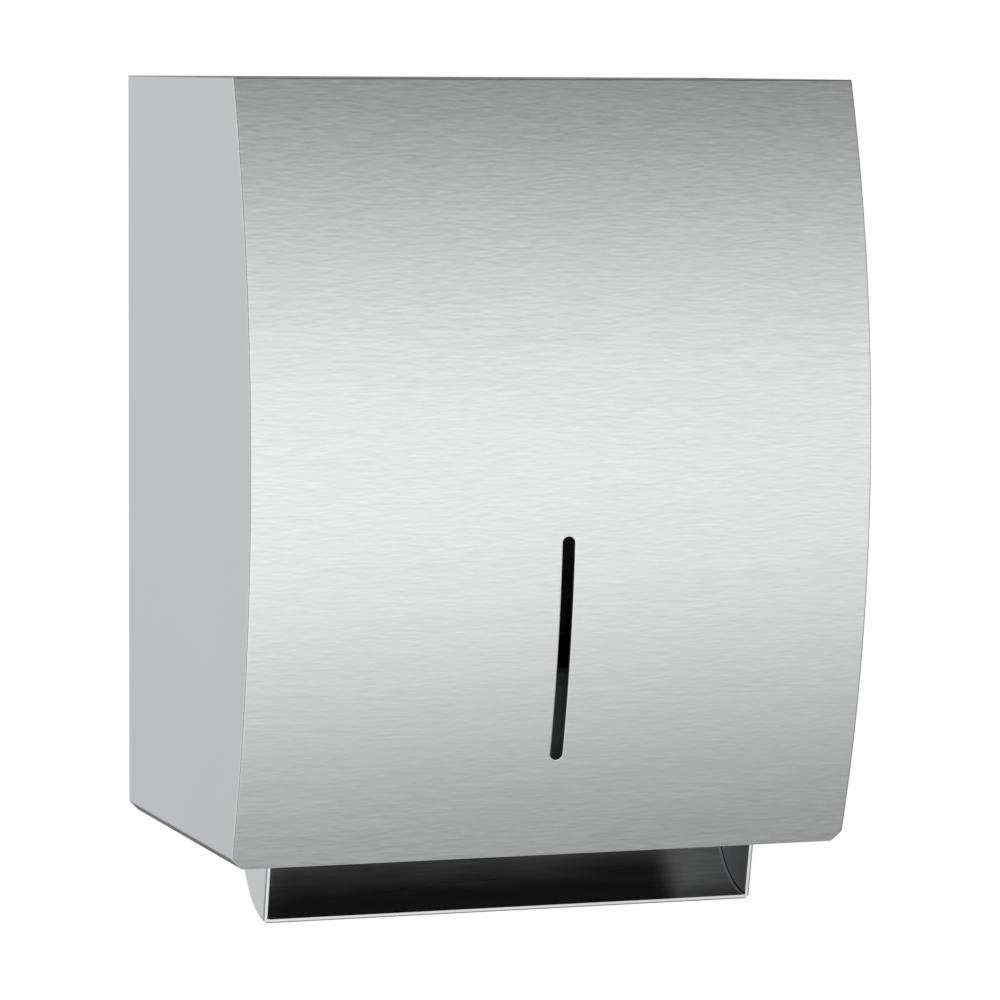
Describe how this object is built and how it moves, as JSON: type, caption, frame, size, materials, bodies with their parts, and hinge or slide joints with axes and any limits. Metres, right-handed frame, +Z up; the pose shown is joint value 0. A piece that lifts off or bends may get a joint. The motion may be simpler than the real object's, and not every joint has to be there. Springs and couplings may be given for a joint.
{
  "type": "automatic roll towel dispenser",
  "caption": "Wall-mounted automatic roll towel dispenser with a bowed brushed steel cover, level slot, steel scoop under it, roll arms, geared motor drive and battery case",
  "frame": {"origin": "centre of the wall screw pattern, on the wall's face at the cover's mid height", "axes": "+X to the right seen from the front, +Y into the wall, +Z up"},
  "size_m": [0.308, 0.2284, 0.4048],
  "materials": {
    "cover_steel": "stainless sheet brushed across its width",
    "side_steel": "stainless sheet with a fine even satin finish",
    "chute_steel": "bright stainless sheet with polished cut edges",
    "plated_steel": "zinc plated steel",
    "motor_can": "drawn steel can",
    "lock_brass": "turned brass",
    "black_plastic": "fine grained black plastic",
    "grey_plastic": "fine grained grey plastic",
    "white_plastic": "white moulded plastic",
    "tyre_rubber": "ground rubber",
    "cell_wrap": "printed film on a steel can",
    "circuit_board": "green board with solder mask",
    "sensor_window": "dark red black window",
    "lamp_lens": "tinted lens"
  },
  "bodies": {
    "chassis": {"back_plate": "plated_steel", "hinge_pins": "plated_steel", "latch_striker": "plated_steel", "left_roll_arm": "grey_plastic", "left_hub_pin": "plated_steel", "arm_pivot_bracket": "plated_steel", "arm_pivot_pin": "plated_steel", "arm_spring": "plated_steel", "base_pan": "grey_plastic", "paper_chute": "chute_steel", "left_side_frame": "black_plastic", "right_side_frame": "black_plastic", "drive_bushes": "lock_brass", "pinch_bushes": "lock_brass", "idler_pin": "plated_steel", "motor": "motor_can", "gear_cover": "black_plastic", "paper_guide": "black_plastic", "tear_bar": "chute_steel", "tear_bar_holder": "black_plastic", "battery_case": "black_plastic", "batteries": "cell_wrap", "battery_contacts": "chute_steel", "control_housing": "grey_plastic", "control_board": "circuit_board", "sensor_lens": "sensor_window", "status_lamp": "lamp_lens", "frame_screws": "plated_steel", "chute_screws": "plated_steel"},
    "cover": {"front_panel": "cover_steel", "left_side_panel": "side_steel", "right_side_panel": "side_steel", "top_panel": "side_steel", "left_hinge_bracket": "plated_steel", "right_hinge_bracket": "plated_steel", "lock_barrel": "plated_steel", "lock_nut": "plated_steel"},
    "lock": {"lock_plug": "lock_brass", "lock_cam": "plated_steel"},
    "left_hub": {"left_core_hub": "white_plastic"},
    "right_arm": {"right_roll_arm": "grey_plastic", "right_hub_pin": "plated_steel"},
    "right_hub": {"right_core_hub": "white_plastic"},
    "drive_roller": {"drive_shaft": "plated_steel", "drive_core": "grey_plastic", "drive_tyres": "tyre_rubber", "drive_gear": "white_plastic"},
    "pinch_roller": {"pinch_shaft": "plated_steel", "pinch_tyres": "tyre_rubber"},
    "idler": {"idler_gear": "white_plastic"},
    "motor_rotor": {"motor_pinion": "lock_brass"},
    "door": {"battery_door": "black_plastic"},
    "button": {"feed_button": "white_plastic"},
    "switch": {"length_switch": "white_plastic"}
  },
  "joints": [
    {"name": "cover_open", "type": "hinge", "parent": "chassis", "child": "cover", "pos_m": [0, -0.039, -0.1705], "axis": [1, 0, 0], "range_deg": [0, 85]},
    {"name": "lock_turn", "type": "hinge", "parent": "cover", "child": "lock", "pos_m": [0, -0.042, 0.17], "axis": [0, 0, 1], "range_deg": [0, 90]},
    {"name": "left_hub_spin", "type": "hinge", "parent": "chassis", "child": "left_hub", "pos_m": [0, -0.1135, 0.059], "axis": [1, 0, 0], "continuous": true},
    {"name": "right_arm_swing", "type": "hinge", "parent": "chassis", "child": "right_arm", "pos_m": [0.108, -0.016, 0.059], "axis": [0, 0, 1], "range_deg": [0, 12], "stiffness_Nm_per_rad": 0.8, "springref_deg": -17.19},
    {"name": "right_hub_spin", "type": "hinge", "parent": "right_arm", "child": "right_hub", "pos_m": [0, -0.1135, 0.059], "axis": [1, 0, 0], "continuous": true},
    {"name": "drive_spin", "type": "hinge", "parent": "chassis", "child": "drive_roller", "pos_m": [0, -0.1193, -0.1198], "axis": [1, 0, 0], "continuous": true},
    {"name": "pinch_spin", "type": "hinge", "parent": "chassis", "child": "pinch_roller", "pos_m": [0, -0.1466, -0.1198], "axis": [1, 0, 0], "continuous": true},
    {"name": "idler_spin", "type": "hinge", "parent": "chassis", "child": "idler", "pos_m": [0, -0.09651, -0.10354], "axis": [1, 0, 0], "continuous": true},
    {"name": "motor_spin", "type": "hinge", "parent": "chassis", "child": "motor_rotor", "pos_m": [0, -0.0713, -0.1198], "axis": [1, 0, 0], "continuous": true},
    {"name": "battery_door_slide", "type": "slide", "parent": "chassis", "child": "door", "axis": [0, 0, 1], "range_m": [0, 0.06]},
    {"name": "feed_button_press", "type": "slide", "parent": "chassis", "child": "button", "axis": [0, 1, 0], "range_m": [0, 0.002], "stiffness_N_per_m": 300, "springref_m": -0.0005},
    {"name": "length_switch_slide", "type": "slide", "parent": "chassis", "child": "switch", "axis": [1, 0, 0], "range_m": [0, 0.006]}
  ],
  "couplings": [
    {"joint": "pinch_spin", "follows": "drive_spin", "ratio": -1.4545},
    {"joint": "idler_spin", "follows": "drive_spin", "ratio": -3},
    {"joint": "motor_spin", "follows": "drive_spin", "ratio": 12}
  ]
}
